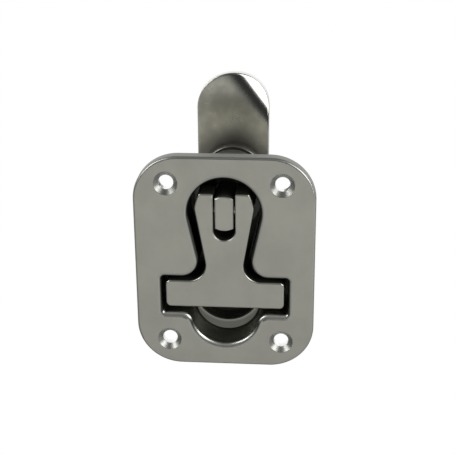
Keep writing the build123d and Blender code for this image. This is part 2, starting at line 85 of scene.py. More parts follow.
Quad = Tuple[float, float, float, float]


class Body(Enum):
    """Rigid bodies that the new pieces ride on, by their names in the frame."""

    HOUSING = "housing_body"
    CAM = "cam_assembly"


class Slot(Enum):
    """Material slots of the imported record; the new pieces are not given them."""

    CASTING = "cast_stainless"
    TURNED = "machined_stainless"
    SHEET = "polished_sheet"


# ---- shader sums


class Signal:
    """An output socket that takes part in ordinary sums, such as 1 - mask."""

    def __init__(self, bench: Bench, socket: bpy.types.NodeSocket) -> None:
        """Wraps a socket of the bench's tree."""
        self.bench = bench
        self.socket = socket

    def maths(self, operation: str, *others: Number) -> Signal:
        """Adds a Math node fed with this signal and then the others."""
        inputs = dict(enumerate((self, *others)))
        return self.bench.node("ShaderNodeMath", {"operation": operation}, inputs)

    def __add__(self, other: Number) -> Signal:
        """Sum."""
        return self.maths("ADD", other)

    __radd__ = __add__

    def __sub__(self, other: Number) -> Signal:
        """Difference."""
        return self.maths("SUBTRACT", other)

    def __rsub__(self, other: Number) -> Signal:
        """Difference from a number."""
        return self.bench.node("ShaderNodeMath", {"operation": "SUBTRACT"}, {0: other, 1: self})

    def __mul__(self, other: Number) -> Signal:
        """Product."""
        return self.maths("MULTIPLY", other)

    __rmul__ = __mul__

    def __truediv__(self, other: Number) -> Signal:
        """Quotient."""
        return self.maths("DIVIDE", other)

    def __pow__(self, other: Number) -> Signal:
        """Power."""
        return self.maths("POWER", other)

    def __abs__(self) -> Signal:
        """Size without its sign."""
        return self.maths("ABSOLUTE")

    def __or__(self, other: Number) -> Signal:
        """The larger of two masks."""
        return self.maths("MAXIMUM", other)

    def __and__(self, other: Number) -> Signal:
        """The smaller of two masks."""
        return self.maths("MINIMUM", other)

    def step(self, low: Number, high: Number) -> Signal:
        """Smooth step that is 0 at low and 1 at high, which may be the smaller of the two."""
        return self.spread(low, high, 0.0, 1.0)

    def past(self, edge: float, band: Pair) -> Signal:
        """Smooth step from 0 to 1 between two places, given by how far they lie from an edge."""
        return self.step(edge + band[0], edge + band[1])

    def spread(self, low: Number, high: Number, at_low: float, at_high: float) -> Signal:
        """Maps low..high smoothly to at_low..at_high and holds the ends.

        Args:
            low: value that becomes at_low.
            high: value that becomes at_high, and may be the smaller of the two.
            at_low: what low becomes.
            at_high: what high becomes.

        Returns:
            The mapped signal.
        """
        values = {
            "Value": self,
            "From Min": low,
            "From Max": high,
            "To Min": at_low,
            "To Max": at_high,
        }
        settings = {"interpolation_type": "SMOOTHSTEP"}
        return self.bench.node("ShaderNodeMapRange", settings, values)


Number = Union[Signal, float]
Value = Union[Signal, float, str, bool, Sequence[float]]


class Bench:
    """The nodes of a material or world: one way of adding any, and a few that are used often."""

    def __init__(self, owner: Union[bpy.types.Material, bpy.types.World]) -> None:
        """Starts an empty tree.

        Args:
            owner: the material or world whose nodes these are.
        """
        owner.use_nodes = True
        self.owner = owner
        self.tree = owner.node_tree
        self.tree.nodes.clear()

    def node(
        self,
        kind: str,
        settings: Optional[Mapping[str, Any]] = None,
        inputs: Optional[Mapping[Union[int, str], Value]] = None,
        output: Union[int, str] = 0,
    ) -> Signal:
        """Adds any node.

        Args:
            kind: Blender's name of the node's type.
            settings: attributes, set before the sockets.
            inputs: numbers, colours or signals, by the socket's name or number.
            output: which output is handed back.

        Returns:
            The chosen output.
        """
        made = self.tree.nodes.new(kind)
        for name, value in (settings or {}).items():
            setattr(made, name, value)
        for key, value in (inputs or {}).items():
            if isinstance(value, Signal):
                self.tree.links.new(value.socket, made.inputs[key])
            else:
                made.inputs[key].default_value = value
        return Signal(self, made.outputs[output] if made.outputs else None)

    def place(self) -> Signal:
        """Place on the piece, in its own coordinates."""
        return self.node("ShaderNodeTexCoord", output="Object")

    def axes(self, vector: Signal) -> Tuple[Signal, Signal, Signal]:
        """The three parts of a vector.

        Args:
            vector: the vector to take apart.

        Returns:
            Its parts along X, Y and Z.
        """
        x, y, z = (
            self.node("ShaderNodeSeparateXYZ", inputs={0: vector}, output=axis) for axis in "XYZ"
        )
        return x, y, z

    def facing(self) -> Tuple[Signal, Signal, Signal]:
        """The three parts of the surface's direction, in the piece's own coordinates."""
        return self.axes(self.node("ShaderNodeTexCoord", output="Normal"))

    def stretched(self, scale: Triple) -> Signal:
        """Place on the piece, stretched along its axes."""
        return self.node("ShaderNodeMapping", inputs={"Vector": self.place(), "Scale": scale})

    def noise(
        self, size: float, detail: float = 2.0, at: Optional[Signal] = None, rough: float = 0.5
    ) -> Signal:
        """Cloudy noise about 0.5.

        Args:
            size: size of its features, in metres.
            detail: how many finer layers it has.
            at: where it is read, if not at the place on the piece.
            rough: how strong the finer layers are.

        Returns:
            The noise, from 0 to 1.
        """
        values = {
            "Vector": at or self.place(),
            "Scale": 1.0 / size,
            "Detail": detail,
            "Roughness": rough,
        }
        return self.node("ShaderNodeTexNoise", inputs=values, output="Fac")

    def blend(self, factor: Number, first: Value, second: Value) -> Signal:
        """Mixes two colours, the first at factor 0 and the second at 1."""
        settings = {"data_type": "RGBA", "clamp_factor": True}
        return self.node("ShaderNodeMix", settings, {0: factor, 6: first, 7: second}, output=2)

    def bump(
        self, height: Signal, depth: float, strength: Number = 1.0, under: Optional[Signal] = None
    ) -> Signal:
        """Surface direction of a relief.

        Args:
            height: the relief, as a height from 0 to 1.
            depth: what a height of 1 stands for, in metres.
            strength: how much of the relief shows, such as a mask.
            under: another relief that it is laid over.

        Returns:
            The surface direction.
        """
        values = {"Height": height, "Distance": depth, "Strength": strength}
        if under is not None:
            values["Normal"] = under
        return self.node("ShaderNodeBump", inputs=values)

    def solid(
        self, colour: Value, roughness: Signal, normal: Signal, metallic: float = 1.0
    ) -> Signal:
        """Shader of metal or plastic.

        Args:
            colour: its colour.
            roughness: its roughness.
            normal: its surface direction.
            metallic: 1 for bare metal and 0 for plastic.

        Returns:
            The shader.
        """
        values = {
            "Base Color": colour,
            "Metallic": metallic,
            "Roughness": roughness,
            "Normal": normal,
        }
        return self.node("ShaderNodeBsdfPrincipled", inputs=values)

    def finish(self, shader: Signal) -> None:
        """Joins the shader to the tree's output.

        Args:
            shader: what the tree ends in.
        """
        kind = "ShaderNodeOutputMaterial"
        if isinstance(self.owner, bpy.types.World):
            kind = "ShaderNodeOutputWorld"
        self.node(kind, inputs={"Surface": shader})


def opaque(colour: Colour) -> Quad:
    """A colour as a socket takes it."""
    return (*colour, 1.0)


# ---- finishes


@dataclass(frozen=True)
class Finish:
    """What every finish has: a name and one material built from it."""

    name: str

    def build(self) -> bpy.types.Material:
        """Builds the material.

        Returns:
            The new material.
        """
        material = bpy.data.materials.new(self.name)
        bench = Bench(material)
        bench.finish(self.surface(bench))
        return material

    def surface(self, bench: Bench) -> Signal:
        """The finish's shader."""
        raise NotImplementedError


@dataclass(frozen=True)
class Metal(Finish):
    """Bare steel with soft clouds in its colour and a worked grain.

    The grain is noise stretched along one axis, as a belt or wheel leaves it.
    """

    colour: Colour = (0.50, 0.50, 0.47)
    shade: Colour = (0.44, 0.44, 0.41)
    roughness: float = 0.28
    uneven: float = 0.05
    grain: Triple = (1.0, 1.0, 1.0)
    grain_size: float = 0.4 * MM
    grain_depth: float = 0.002 * MM
    cloud_size: float = 9 * MM
    cloud_edge: Pair = (0.35, 0.65)
    smear_size: float = 5 * MM

    def surface(self, bench: Bench) -> Signal:
        """Steel with clouds and grain.

        Args:
            bench: where its nodes go.

        Returns:
            The shader.
        """
        clouds = bench.noise(self.cloud_size, detail=3.0).step(*self.cloud_edge)
        colour = bench.blend(clouds, opaque(self.colour), opaque(self.shade))
        grain = bench.noise(self.grain_size, 3.0, bench.stretched(self.grain))
        smear = bench.noise(self.smear_size, detail=4.0, rough=0.65)
        smeared = self.roughness + (smear - 0.5) * (2 * self.uneven)
        roughness = smeared + (grain - 0.5) * self.uneven
        return bench.solid(colour, roughness, bench.bump(grain, self.grain_depth))


@dataclass(frozen=True)
class Satin(Finish):
    """Satin-ground steel whose rounded edges are buffed brighter than its flats."""

    colour: Colour = (0.520, 0.520, 0.455)
    shade: Colour = (0.485, 0.485, 0.425)
    edge_colour: Colour = (0.56, 0.56, 0.50)
    satin: float = 0.30
    buffed: float = 0.22
    flat_facing: Pair = (-0.93, -0.99)
    cloud_size: float = 13 * MM
    cloud_edge: Pair = (0.36, 0.64)
    smear_size: float = 6 * MM
    smear_stretch: Triple = (1.0, 1.0, 0.5)
    smeared: float = 0.10
    grain_size: float = 0.22 * MM
    grained: float = 0.05
    relief: float = 0.012 * MM

    def surface(self, bench: Bench) -> Signal:
        """Satin flats, buffed edges and a faint ground grain.

        Args:
            bench: where its nodes go.

        Returns:
            The shader.
        """
        flat = self._flat(bench)
        colour = bench.blend(flat, opaque(self.edge_colour), self._tint(bench))
        roughness = self.buffed + flat * (self._satin(bench) - self.buffed)
        return self._metal(bench, colour, roughness, self._grain(bench) * flat)

    def _flat(self, bench: Bench) -> Signal:
        """Mask of what faces straight to the front."""
        _, towards, _ = bench.facing()
        return towards.step(*self.flat_facing)

    def _tint(self, bench: Bench) -> Signal:
        """Steel colour with broad clouds."""
        clouds = bench.noise(self.cloud_size, detail=4.0, rough=0.62).step(*self.cloud_edge)
        return bench.blend(clouds, opaque(self.colour), opaque(self.shade))

    def _satin(self, bench: Bench) -> Signal:
        """Roughness of the ground flats, with smears and a fine speckle.

        Args:
            bench: where its nodes go.

        Returns:
            The roughness.
        """
        place = bench.stretched(self.smear_stretch)
        smear = bench.noise(self.smear_size, 4.0, place, rough=0.65)
        smeared = self.satin + (smear - 0.5) * self.smeared
        return smeared + (self._grain(bench) - 0.5) * self.grained

    @staticmethod
    def _apart(bench: Bench, axis: Pair) -> Signal:
        """Distance from an axis that runs along Y at (x, z)."""
        x, _, z = bench.axes(bench.place())
        return ((x - axis[0]) ** 2.0 + (z - axis[1]) ** 2.0) ** 0.5

    def _grain(self, bench: Bench) -> Signal:
        """Fine speckle that a belt leaves."""
        return bench.noise(self.grain_size)

    def _metal(
        self,
        bench: Bench,
        colour: Value,
        roughness: Signal,
        height: Signal,
        under: Optional[Signal] = None,
    ) -> Signal:
        """Bare metal with a shallow relief, laid over another relief where there is one."""
        return bench.solid(colour, roughness, bench.bump(height, self.relief, under=under))


@dataclass(frozen=True)
class Regions:
    """Masks of the casting's regions: 1 within and 0 outside.

    Flat faces straight to the front; recess is the recess with its well; lower faces upwards, as
    the recess's lower rim does; wall is steep and lies below a rim; ledge is the step in the
    finger bulge, and a band at its inner edge takes a painted highlight; pit is what stays rough in
    the recess and takes painted shade, side the plate's outer side, which takes painted shade too,
    and back the rest, as it left the mould.
    """

    flat: Signal
    recess: Signal
    lower: Signal
    wall: Signal
    ledge: Signal
    ledge_highlight: Signal
    pit: Signal
    side: Signal
    back: Signal


@dataclass(frozen=True)
class Casting(Satin):
    """Investment casting, ground satin in front, buffed round its rims and rough elsewhere.

    The recess's walls are rough and painted dark as painted shade, lighter where they face up; the
    lower rim is painted bright as a painted highlight and runs out softly; the ledge in the finger
    bulge has a little draft towards the well and a painted highlight along its inner edge; the
    plate's outer sides carry painted shade; and the back keeps the mould's fine grain and is
    painted darker towards the barrel's end as painted shade. Facings are bands in one part of the
    surface's direction, and depths start at the plate's back. A round region is its middle's height
    and its radius, and the slot half its width and the heights of its ends.
    """

    edge_colour: Colour = (0.56, 0.56, 0.53)
    # painted shade: near-black steel for the recess's walls and floors, standing in for the shade
    # inside it
    pit_shade_colour: Colour = (0.075, 0.075, 0.065)
    ledge_colour: Colour = (0.50, 0.50, 0.45)
    # painted highlight along the ledge's inner edge
    ledge_highlight_colour: Colour = (0.86, 0.86, 0.80)
    # painted highlight on the recess's lower rim, which faces up into the light
    lower_rim_highlight_colour: Colour = (0.70, 0.70, 0.65)
    # painted shade on the recess's walls that face up, lighter where more light reaches them
    lower_wall_shade_colour: Colour = (0.34, 0.34, 0.30)
    # painted shade on the plate's outer sides
    side_shade_colour: Colour = (0.33, 0.33, 0.31)
    cast_colour: Colour = (0.60, 0.59, 0.54)
    # painted shade that darkens the back towards the barrel's end
    barrel_shade_colour: Colour = (0.27, 0.265, 0.245)
    barrel_shade_from: Pair = (17 * MM, 28 * MM)
    buffed: float = 0.33
    rim_satin: float = 0.33
    side_satin: float = 0.5
    cast: float = 0.45
    mould_size: float = 0.7 * MM
    mould_relief: float = 3.0
    mould_uneven: float = 0.2
    soft_rim: Pair = (-0.9 * MM, 1.6 * MM)
    soft_rim_lean: float = 0.60
    soft_rim_facing: Pair = (-0.1, 0.3)
    draft: float = 0.54
    rim_foot: float = -2.6 * MM
    fade: float = 0.2 * MM
    lower_facing: Pair = (0.25, 0.6)
    rim_facing: Pair = (-0.94, -0.70)
    wall_facing: Pair = (-0.45, -0.15)
    side_facing: Pair = (-0.85, -0.45)
    recess_facing: Pair = (0.5, 0.2)
    side_end: Pair = (0.0, -0.1 * MM)
    pan_end: Pair = (20 * MM, 19 * MM)
    head: Pair = (18 * MM, 12 * MM)
    bulge: Pair = (-18.6 * MM, 11.6 * MM)
    ledge: Pair = (7.7 * MM, 8.3 * MM)
    well_end: Pair = (-14.9 * MM, 11.0 * MM)
    ledge_outside: Pair = (-0.4 * MM, -0.75 * MM)
    ledge_inside: Pair = (0.3 * MM, 0.5 * MM)
    ledge_highlight_band: Pair = (1.5 * MM, 0.6 * MM)
    slot: Triple = (21.3 * MM, -18.8 * MM, -5.0 * MM)
    neck: float = 14 * MM
    margin: float = 0.8 * MM
    round_margin: Pair = (1.7 * MM, 1.4 * MM)
    outwards: Pair = (1.0 * MM, 0.3 * MM)

    def surface(self, bench: Bench) -> Signal:
        """Steel whose finish follows where a surface faces and how deep it lies.

        Args:
            bench: where its nodes go.

        Returns:
            The shader.
        """
        at = self._regions(bench)
        rough = at.pit | at.back
        mould = bench.noise(self.mould_size, detail=4.0, rough=0.7)
        buffed = self.buffed + at.recess * at.lower * (self.rim_satin - self.buffed)
        worked = buffed + at.flat * (self._satin(bench) - buffed)
        worked = worked + at.side * (self.side_satin - worked)
        as_cast = self.cast + (mould - 0.5) * self.mould_uneven
        roughness = worked * (1 - rough) + rough * as_cast
        relief = self._grain(bench) * at.flat + mould * rough * self.mould_relief
        colour = self._colours(bench, at)
        return self._metal(bench, colour, roughness, relief, self._form(bench, at))

    def _regions(self, bench: Bench) -> Regions:
        """Works out the regions from where a surface lies and faces.

        Args:
            bench: where its nodes go.

        Returns:
            The regions' masks.
        """
        _, deep, _ = bench.axes(bench.place())
        _, towards, up = bench.facing()
        flat = self._flat(bench)
        recess = self._in_recess(bench)
        lower = up.step(*self.lower_facing)
        rim_foot = towards.step(*self.rim_facing) * (1 - lower)
        foot = (self.soft_rim[0] - self.rim_foot) * lower + self.rim_foot
        wall = towards.step(*self.wall_facing) * deep.step(foot, foot + 2 * self.fade)
        floors = deep.past(self.ledge[0], (-self.fade, 0.0))
        from_bulge = self._apart(bench, (0.0, self.bulge[0]))
        from_well = self._apart(bench, (0.0, self.well_end[0]))
        ledge = flat * recess * floors * deep.past(self.ledge[1], (self.fade, 0.0))
        ledge = ledge * from_bulge.past(self.bulge[1], self.ledge_outside)
        ledge = ledge * from_well.past(self.well_end[1], self.ledge_inside)
        inside = deep.step(*self.pan_end) * recess * (1 - ledge)
        # the pit takes rough as-cast steel and painted shade
        pit = inside * (rim_foot | wall | floors)
        side = towards.step(*self.side_facing) * (1 - recess) * deep.step(*self.side_end)
        return Regions(
            flat=flat,
            recess=recess,
            lower=lower,
            wall=wall,
            ledge=ledge,
            # band at the ledge's inner edge that takes the painted highlight
            ledge_highlight=from_well.past(self.well_end[1], self.ledge_highlight_band),
            pit=pit,
            side=side,
            back=wall * (1 - pit) * (1 - ledge) * (1 - side),
        )

    def _colours(self, bench: Bench, at: Regions) -> Value:
        """Steel colour of each region, with painted highlights and painted shade, laid one over
        another.

        Args:
            bench: where its nodes go.
            at: the regions' masks.

        Returns:
            The colour.
        """
        _, deep, _ = bench.axes(bench.place())
        # painted shade, darker towards the barrel's end
        dull = deep.step(*self.barrel_shade_from)
        cast = bench.blend(dull, opaque(self.cast_colour), opaque(self.barrel_shade_colour))
        # ledge steel with a painted highlight along its inner edge
        ledge = bench.blend(at.ledge_highlight, opaque(self.ledge_colour), opaque(self.ledge_highlight_colour))
        layers: Tuple[Tuple[Signal, Value], ...] = (
            (at.flat, self._tint(bench)),
            # painted highlight on the recess's lower rim
            (at.recess * at.lower * (1 - at.wall), opaque(self.lower_rim_highlight_colour)),
            (at.back, cast),
            # painted shade on the plate's outer sides
            (at.side, opaque(self.side_shade_colour)),
            # painted shade in the recess, lighter on its walls that face up
            (at.pit, opaque(self.pit_shade_colour)),
            (at.pit * at.lower, opaque(self.lower_wall_shade_colour)),
            (at.ledge, ledge),
        )
        colour: Value = opaque(self.edge_colour)
        for mask, layer in layers:
            colour = bench.blend(mask, colour, layer)
        return colour

    def _form(self, bench: Bench, at: Regions) -> Signal:
        """Surface direction with the ledge's draft and the soft lower rim.

        Args:
            bench: where its nodes go.
            at: the regions' masks.

        Returns:
            The surface direction.
        """
        _, deep, z = bench.axes(bench.place())
        _, _, up = bench.facing()
        draft = bench.bump(z * -self.draft, 1.0, at.ledge)
        rim = at.recess * up.step(*self.soft_rim_facing)
        return bench.bump(self._soft_rim(deep), 1.0, rim, draft)

    def _soft_rim(self, deep: Signal) -> Signal:
        """Height that leans the walls under a rim forwards, as a hand-buffed rim runs out.

        With d the depth's lack below the rim's end, at most its width, and e what is beyond, it
        is -lean * (d * d / (2 * width) + e).

        Args:
            deep: how deep a place lies below the plate's back.

        Returns:
            The height, in metres.
        """
        end, width = self.soft_rim
        near = (end - deep | 0.0) & width
        beyond = (end - width) - deep | 0.0
        return (near ** 2.0 / (2 * width) + beyond) * -self.soft_rim_lean

    def _in_recess(self, bench: Bench) -> Signal:
        """Mask of the recess and the well: 1 in the head, the bulge, the slot and the neck.

        What faces away from a region's own middle is the pan's outside, and so is what faces back.

        Args:
            bench: where its nodes go.

        Returns:
            The mask.
        """
        x, _, z = bench.axes(bench.place())
        right, towards, up = bench.facing()
        half, low, high = self.slot
        margin = self.margin
        in_slot = abs(x).past(half, (2 * margin, margin))
        in_slot = in_slot & z.past(low, (-2 * margin, -margin))
        in_slot = in_slot & z.past(high, (2 * margin, margin))
        in_neck = abs(x).past(self.neck, (margin, 0.0)) & z.past(high, (-margin, 0.0))
        in_neck = in_neck & z.past(self.head[0], (0.0, -margin))
        inside = in_neck & (x * right).step(*self.outwards)
        regions = [(in_slot, (low + high) / 2)]
        for middle, radius in (self.head, self.bulge):
            round_part = self._apart(bench, (0.0, middle)).past(radius, self.round_margin)
            regions.append((round_part, middle))
        for region, middle in regions:
            outwards = x * right + (z - middle) * up
            inside = inside | (region & outwards.step(*self.outwards))
        return inside & towards.step(*self.recess_facing)


@dataclass(frozen=True)
class SatinHandle(Satin):
    """Satin-ground steel with dull sides, as the handle shows them behind its buffed edge.

    Its sides are rough and carry painted shade. Edges round the foot of the handle's slot, given by
    its middle's height and its radius, are rougher, because no wheel gets in there, and their
    colour is darkened as painted shade. A radius of 0 leaves them all alike.
    """

    # painted shade on the handle's sides, where the recess's gap is dark
    side_shade_colour: Colour = (0.15, 0.15, 0.135)
    side_roughness: float = 0.5
    side_facing: Pair = (-0.9, -0.6)
    edge_depth: float = -3.4 * MM
    fade: float = 0.3 * MM
    slot_foot: Pair = (0.0, 0.0)
    foot_roughness: float = 0.44
    # painted shade on the edges round the slot's foot
    foot_shade_colour: Colour = (0.50, 0.50, 0.45)

    def surface(self, bench: Bench) -> Signal:
        """Satin front, buffed edges and dull sides in painted shade; what faces down is neither
        dull nor shaded.

        Args:
            bench: where its nodes go.

        Returns:
            The shader.
        """
        _, deep, _ = bench.axes(bench.place())
        _, towards, up = bench.facing()
        flat = self._flat(bench)
        side = deep.past(self.edge_depth, (0.0, self.fade)) * towards.step(*self.side_facing)
        side = side * up.step(*self.side_facing)
        middle, radius = self.slot_foot
        foot = self._apart(bench, (0.0, middle)).past(radius, (self.fade, 0.0))
        # painted shade at the slot's foot
        edge = bench.blend(foot, opaque(self.edge_colour), opaque(self.foot_shade_colour))
        colour = bench.blend(flat, edge, self._tint(bench))
        # painted shade on the sides
        colour = bench.blend(side, colour, opaque(self.side_shade_colour))
        buffed = self.buffed + foot * (self.foot_roughness - self.buffed)
        roughness = buffed + flat * (self._satin(bench) - buffed)
        roughness = roughness * (1 - side) + side * self.side_roughness
        return self._metal(bench, colour, roughness, self._grain(bench) * (flat | side))


@dataclass(frozen=True)
class PolishedSheet(Satin):
    """Sheet polished by hand: mottled, burnished where it is bent, with a painted dark reflection
    along the bend and painted shade round its washers.

    Lean is how far the surface tips towards the bent corner, which lies at a heading from up.
    """

    colour: Colour = (0.70, 0.70, 0.615)
    shade: Colour = (0.58, 0.575, 0.515)
    # painted dark reflection along the bend
    bend_reflection_colour: Colour = (0.36, 0.36, 0.35)
    # painted shade round the washers, on the cam's foot
    foot_shade_colour: Colour = (0.31, 0.305, 0.28)
    edge_colour: Colour = (0.80, 0.80, 0.78)
    satin: float = 0.30
    buffed: float = 0.13
    heading: float = 0.0
    centre: Pair = (0.0, 18 * MM)
    foot: Pair = (20 * MM, 13 * MM)
    cloud_size: float = 7 * MM
    clouded: float = 0.12
    speckle_size: float = 0.5 * MM
    speckled: float = 0.08
    grain_share: float = 0.05
    edge_facing: Pair = (0.80, 0.5)
    bend_lean: Pair = (0.06, 0.34)
    corner_lean: Pair = (0.44, 0.38)
    polish_lean: Pair = (0.10, 0.34)

    def surface(self, bench: Bench) -> Signal:
        """Mottled sheet with painted shade at its foot, a burnished bend with a painted dark
        reflection, and brighter edges.

        Args:
            bench: where its nodes go.

        Returns:
            The shader.
        """
        right, towards, up = bench.facing()
        edge = abs(towards).step(*self.edge_facing)
        heading = math.radians(self.heading)
        lean = (right * math.sin(heading) + up * math.cos(heading)) * (1 - edge)
        clouds = bench.noise(self.cloud_size, rough=0.6)
        speckle = bench.noise(self.speckle_size)
        foot = self._apart(bench, self.centre).step(*self.foot)
        bend = lean.step(*self.bend_lean) * lean.step(*self.corner_lean)
        mottle = clouds.step(*self.cloud_edge)
        colour = bench.blend(mottle, opaque(self.colour), opaque(self.shade))
        # painted shade round the washers
        colour = bench.blend(foot, colour, opaque(self.foot_shade_colour))
        # painted dark reflection along the bend
        colour = bench.blend(bend, colour, opaque(self.bend_reflection_colour))
        colour = bench.blend(edge, colour, opaque(self.edge_colour))
        satin = self.satin + (clouds - 0.5) * self.clouded + (speckle - 0.5) * self.speckled
        polish = edge | lean.step(*self.polish_lean)
        roughness = satin + polish * (self.buffed - satin)
        return self._metal(bench, colour, roughness, self._grain(bench) * self.grain_share)


@dataclass(frozen=True)
class Polished(Satin):
    """Countersink polished by its tool, with a bright bore."""

    edge_colour: Colour = (0.45, 0.45, 0.42)
    buffed: float = 0.19
    # painted light: the bore is painted white so it reads as bright as the white backdrop
    bore_painted_light_colour: Colour = (1.0, 1.0, 1.0)
    bore_roughness: float = 0.28
    bore_facing: Pair = (-0.35, -0.1)
    mark_size: float = 0.35 * MM
    mark_stretch: Triple = (0.3, 3.0, 0.3)
    marked: float = 0.08
    mark_relief: float = 0.3

    def surface(self, bench: Bench) -> Signal:
        """Polished cone with turning marks, and a brighter bore.

        Args:
            bench: where its nodes go.

        Returns:
            The shader.
        """
        _, towards, _ = bench.facing()
        bore = towards.step(*self.bore_facing)
        # bore painted white as painted light
        colour = bench.blend(bore, opaque(self.edge_colour), opaque(self.bore_painted_light_colour))
        marks = bench.noise(self.mark_size, at=bench.stretched(self.mark_stretch))
        cone = self.buffed + (marks - 0.5) * self.marked
        roughness = cone + bore * (self.bore_roughness - self.buffed)
        return self._metal(bench, colour, roughness, marks * (1 - bore) * self.mark_relief)


@dataclass(frozen=True)
class Moulded(Finish):
    """Moulded polymer or rubber: one colour with faint flow marks and a fine texture."""

    colour: Colour
    roughness: float
    darkened: float = 0.82
    flow_size: float = 2.5 * MM
    flow_edge: Pair = (0.3, 0.7)
    uneven: float = 0.1
    texture_size: float = 0.15 * MM
    texture_depth: float = 0.01 * MM

    def surface(self, bench: Bench) -> Signal:
        """Plastic with flow marks.

        Args:
            bench: where its nodes go.

        Returns:
            The shader.
        """
        flow = bench.noise(self.flow_size, detail=3.0)
        red, green, blue = self.colour
        darker = (self.darkened * red, self.darkened * green, self.darkened * blue)
        colour = bench.blend(flow.step(*self.flow_edge), opaque(self.colour), opaque(darker))
        roughness = self.roughness + (flow - 0.5) * self.uneven
        texture = bench.bump(bench.noise(self.texture_size), self.texture_depth)
        return bench.solid(colour, roughness, texture, metallic=0.0)


# ---- surfaces


def added(name: str, data: bpy.types.ID) -> bpy.types.Object:
    """Adds an object to the scene.

    Args:
        name: what it is called.
        data: its mesh, lamp or camera.

    Returns:
        The new object.
    """
    item = bpy.data.objects.new(name, data)
    bpy.context.scene.collection.objects.link(item)
    return item


@dataclass
class Surface:
    """A mesh worked out as whole arrays: points in rows that are closed rings."""

    name: str
    points: np.ndarray
    close_rows: bool = False
    capped: bool = True

    def build(self, material: bpy.types.Material, smooth_angle: float) -> bpy.types.Object:
        """Makes the object.

        A face joins each point to the next in its row and to those in the next row. The last row
        is joined to the first where the rows close, and otherwise a fan may cap each end.

        Args:
            material: the piece's finish.
            smooth_angle: edges sharper than this, in degrees, stay sharp.

        Returns:
            The new object, at the origin.
        """
        rows, columns = self.points.shape[:2]
        numbers = np.arange(rows * columns).reshape(rows, columns)
        numbers = np.hstack([numbers, numbers[:, :1]])
        if self.close_rows:
            numbers = np.vstack([numbers, numbers[:1]])
        quads = np.stack(
            [numbers[:-1, :-1], numbers[:-1, 1:], numbers[1:, 1:], numbers[1:, :-1]], axis=-1
        ).reshape(-1, 4)
        vertices = self.points.reshape(-1, 3)
        faces = quads.tolist()
        if self.capped and not self.close_rows:
            vertices, faces = self._cap(vertices, faces, numbers)
        mesh = bpy.data.meshes.new(self.name)
        mesh.from_pydata(vertices.tolist(), [], faces)
        mesh.validate()
        mesh.materials.append(material)
        mesh.shade_smooth()
        mesh.set_sharp_from_angle(angle=math.radians(smooth_angle))
        LOG.info("made %s with %d points", self.name, len(mesh.vertices))
        return added(self.name, mesh)

    @staticmethod
    def _cap(
        vertices: np.ndarray, faces: list[list[int]], numbers: np.ndarray
    ) -> Tuple[np.ndarray, list[list[int]]]:
        """Adds a fan from the middle of the first row and of the last.

        Args:
            vertices: the points so far.
            faces: the faces so far.
            numbers: the points' numbers, row by row.

        Returns:
            The points and the faces with those of the fans.
        """
        for row, forwards in ((0, True), (-1, False)):
            ring = numbers[row]
            middle = len(vertices)
            vertices = np.vstack([vertices, vertices[ring[:-1]].mean(axis=0)])
            ends = (ring[1:], ring[:-1]) if forwards else (ring[:-1], ring[1:])
            faces += np.stack([np.full(len(ring) - 1, middle), *ends], axis=-1).tolist()
        return vertices, faces


def turned(middle: Pair, radii: np.ndarray, along: np.ndarray, angle: np.ndarray) -> np.ndarray:
    """Rings (x + r cos a, y, z + r sin a) of radius r about an axis along Y at (x, z).

    Args:
        middle: where the axis is, as (x, z).
        radii: radius r at each place of each ring.
        along: depth y of each ring.
        angle: angle a of each place, in radians.

    Returns:
        The points, a ring to a row.
    """
    depth = along[:, None] * np.ones_like(radii)
    return np.stack(
        [middle[0] + radii * np.cos(angle), depth, middle[1] + radii * np.sin(angle)], axis=-1
    )


@dataclass(frozen=True)
class Thread:
    """A metric outside thread on an axis along Y.

    The radius falls from the crest by a trapezoid wave whose phase advances one turn per pitch.
    """

    radius: float
    pitch: float = 1.5 * MM
    depth: float = 0.92 * MM
    crest: float = 0.18
    root: float = 0.14

    def radii(self, turn: np.ndarray, along: np.ndarray) -> np.ndarray:
        """Radius of the thread at places on it.

        Args:
            turn: place round the axis, as a share of a turn.
            along: place along the axis.

        Returns:
            The radius at each place.
        """
        phase = np.mod(along / self.pitch - turn, 1.0)
        slope = (1.0 - self.crest - self.root) / 2
        away = np.abs(phase - 0.5) - self.crest / 2
        return self.radius - self.depth * np.clip(away / slope, 0.0, 1.0)


# ---- sub-assemblies


@dataclass
class Frame:
    """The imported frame: its nodes and where they lie."""

    nodes: Mapping[str, bpy.types.Object]

    def low(self, node: str) -> Vector:
        """Lowest corner of a node."""
        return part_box(node)[0]

    def high(self, node: str) -> Vector:
        """Highest corner of a node."""
        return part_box(node)[1]

    def middle(self, node: str) -> Vector:
        """Middle of a node's box."""
        return (self.low(node) + self.high(node)) / 2

    def dress(self, finish: Finish, *nodes: str) -> None:
        """Gives nodes one finish.

        Args:
            finish: what they are given.
            *nodes: their names.
        """
        material = finish.build()
        for node in nodes:
            slots = self.nodes[node].data.materials
            slots.clear()
            slots.append(material)
            LOG.info("dressed %s in %s", node, material.name)


